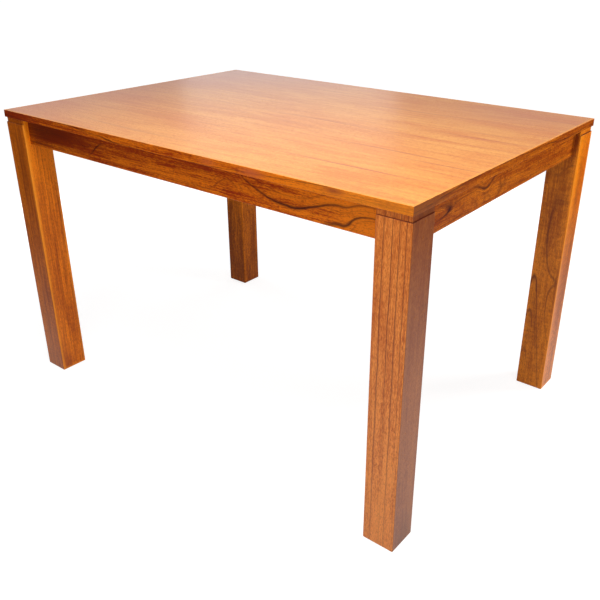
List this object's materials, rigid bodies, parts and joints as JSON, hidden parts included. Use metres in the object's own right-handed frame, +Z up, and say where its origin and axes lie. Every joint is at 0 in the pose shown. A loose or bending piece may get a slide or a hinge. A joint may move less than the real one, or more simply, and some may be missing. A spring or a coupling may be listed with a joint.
{
  "type": "dining table",
  "caption": "Rectangular wooden dining table: lipped veneered top flush over square corner legs, a shadow gap above each leg, and set-back aprons bolted through corner blocks.",
  "frame": {"origin": "on the floor, under the middle of the top", "axes": "+X along the table's long side, +Y across it from the front to the back, +Z up"},
  "size_m": [1.216, 0.85, 0.75],
  "materials": {
    "face_veneer": "straight-grained hardwood veneer, honey-orange stain, satin lacquer",
    "backing_veneer": "plain balancing veneer, thin sealer",
    "core_board": "medium-density fibreboard",
    "lipping": "solid hardwood, red-brown stain, satin lacquer",
    "apron": "solid hardwood with flame figure, red-brown stain, satin lacquer",
    "leg": "solid hardwood, straight to cathedral grain, orange-brown stain, satin lacquer",
    "corner_block": "plain hardwood, unstained",
    "zinc_steel": "zinc-plated steel",
    "clip_steel": "bent zinc-plated steel strip"
  },
  "bodies": {
    "root": {"face_veneer": "face_veneer", "backing_veneer": "backing_veneer", "core_board": "core_board", "lipping_front": "lipping", "lipping_right": "lipping", "lipping_back": "lipping", "lipping_left": "lipping", "apron_front": "apron", "apron_right": "apron", "apron_back": "apron", "apron_left": "apron", "leg_front_left": "leg", "leg_front_right": "leg", "leg_back_right": "leg", "leg_back_left": "leg", "corner_block_front_left": "corner_block", "corner_block_front_right": "corner_block", "corner_block_back_right": "corner_block", "corner_block_back_left": "corner_block", "hanger_bolts": "zinc_steel", "bolt_washers": "zinc_steel", "bolt_nuts": "zinc_steel", "block_screws": "zinc_steel", "clip_screws": "zinc_steel", "top_clips": "clip_steel"}
  },
  "joints": []
}
